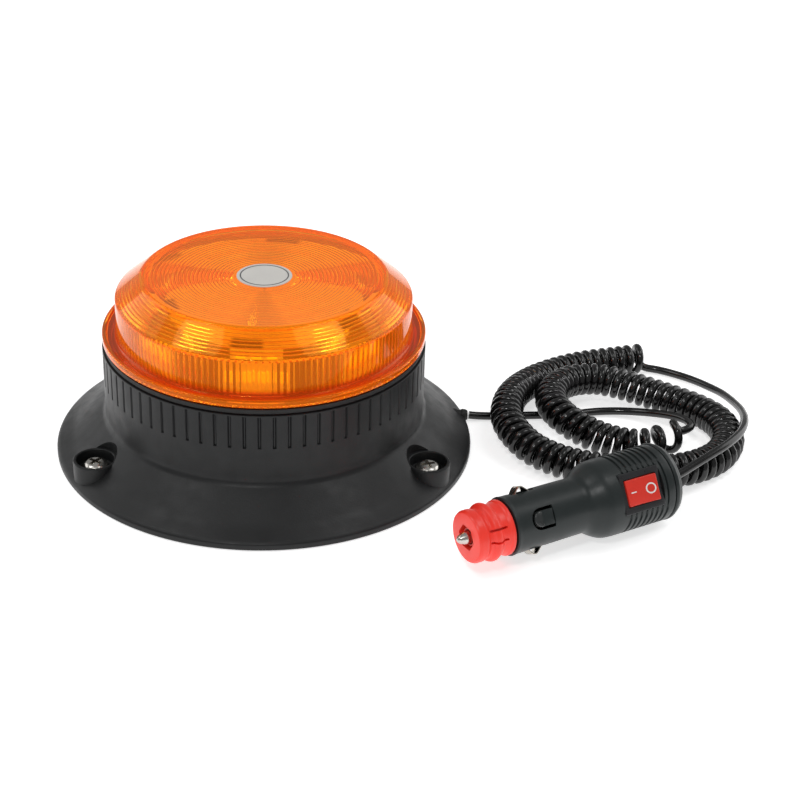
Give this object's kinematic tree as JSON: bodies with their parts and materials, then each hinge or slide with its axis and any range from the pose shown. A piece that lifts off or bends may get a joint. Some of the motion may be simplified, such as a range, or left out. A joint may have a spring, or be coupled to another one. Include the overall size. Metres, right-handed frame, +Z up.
{
  "type": "led warning beacon",
  "caption": "Low-profile amber warning beacon on a conical screw-down base, with a curly cord and a switched vehicle power plug.",
  "frame": {"origin": "middle of the base's underside, on the surface it stands on", "axes": "+Z up through the lens; +X towards the side the cord leaves from; one screw boss on +Y"},
  "size_m": [0.269, 0.1805, 0.0707],
  "materials": {
    "charcoal_plastic": "fine-grained satin",
    "plug_plastic": "satin, slightly green-grey",
    "amber_lens": "clear amber, glossy",
    "red_plastic": "semi-gloss",
    "black_rubber": "matt",
    "cord_jacket": "glossy black",
    "label": "printed film",
    "steel": "zinc plated",
    "spring_steel": "bright",
    "brass": "bright",
    "aluminium": "satin",
    "board_white": "solder mask",
    "board_green": "solder mask",
    "magnet": "nickel grey",
    "capacitor_sleeve": "sleeve",
    "copper": "enamelled winding",
    "switch_plastic": "semi-gloss",
    "fuse_glass": "clear"
  },
  "bodies": {
    "base": {"base_housing": "charcoal_plastic", "base_plate": "steel", "rubber_pad": "black_rubber", "cord_grommet": "black_rubber", "lens_gasket": "black_rubber", "led_board": "board_white", "module_carrier": "aluminium", "top_reflector": "aluminium", "driver_board": "board_green", "capacitor": "capacitor_sleeve", "inductor": "copper", "cord_lead_to_beacon": "cord_jacket", "curly_cord": "cord_jacket", "cord_lead_to_plug": "cord_jacket", "plug_body": "plug_plastic", "plug_rear_cap": "plug_plastic", "plug_strain_relief": "black_rubber", "switch_frame": "switch_plastic", "pin_collar": "red_plastic", "collar_ring": "brass", "pin_spring": "spring_steel", "inner_core": "switch_plastic", "fuse": "fuse_glass", "plug_board": "board_green", "mounting_screw_1": "steel", "plate_screw_1": "steel", "board_screw_1": "steel", "magnet_1": "magnet", "mounting_screw_2": "steel", "plate_screw_2": "steel", "board_screw_2": "steel", "magnet_2": "magnet", "mounting_screw_3": "steel", "plate_screw_3": "steel", "board_screw_3": "steel", "magnet_3": "magnet", "led_module_1": "board_white", "led_module_2": "board_white", "led_module_3": "board_white", "led_module_4": "board_white", "led_module_5": "board_white", "led_module_6": "board_white"},
    "lens_body": {"lens": "amber_lens", "top_label": "label"},
    "rocker_body": {"switch_rocker": "red_plastic"},
    "adapter_body": {"plug_adapter": "red_plastic"},
    "pin_body": {"contact_pin": "steel"},
    "earth_body_1": {"earth_contact_1": "spring_steel"},
    "earth_body_2": {"earth_contact_2": "spring_steel"},
    "latch_body": {"latch_tab": "plug_plastic"}
  },
  "joints": [
    {"name": "lens_twist", "type": "hinge", "parent": "base", "child": "lens_body", "pos_m": [0, 0, 0.046], "axis": [0, 0, 1], "range_deg": [0, 20]},
    {"name": "rocker_tilt", "type": "hinge", "parent": "base", "child": "rocker_body", "pos_m": [0.13428, -0.07063, 0.02053], "axis": [-0.2418, 0.4548, 0.8572], "range_deg": [0, 16]},
    {"name": "adapter_twist", "type": "hinge", "parent": "base", "child": "adapter_body", "pos_m": [0.07152, -0.09264, 0.0145], "axis": [0.8829, 0.4695, 0], "range_deg": [0, 40]},
    {"name": "contact_pin_slide", "type": "slide", "parent": "base", "child": "pin_body", "axis": [0.8829, 0.4695, 0], "range_m": [0, 0.003], "stiffness_N_per_m": 1200, "springref_m": -0.001, "deforming": ["pin_spring"]},
    {"name": "earth_contact_1_press", "type": "slide", "parent": "base", "child": "earth_body_1", "axis": [0.2418, -0.4548, -0.8572], "range_m": [0, 0.0012], "stiffness_N_per_m": 1500, "springref_m": -0.0005},
    {"name": "earth_contact_2_press", "type": "slide", "parent": "base", "child": "earth_body_2", "axis": [-0.2418, 0.4548, 0.8572], "range_m": [0, 0.0012], "stiffness_N_per_m": 1500, "springref_m": -0.0005},
    {"name": "latch_tab_press", "type": "slide", "parent": "base", "child": "latch_body", "axis": [-0.4024, 0.7568, -0.515], "range_m": [0, 0.001], "stiffness_N_per_m": 1500, "springref_m": -0.0005}
  ]
}
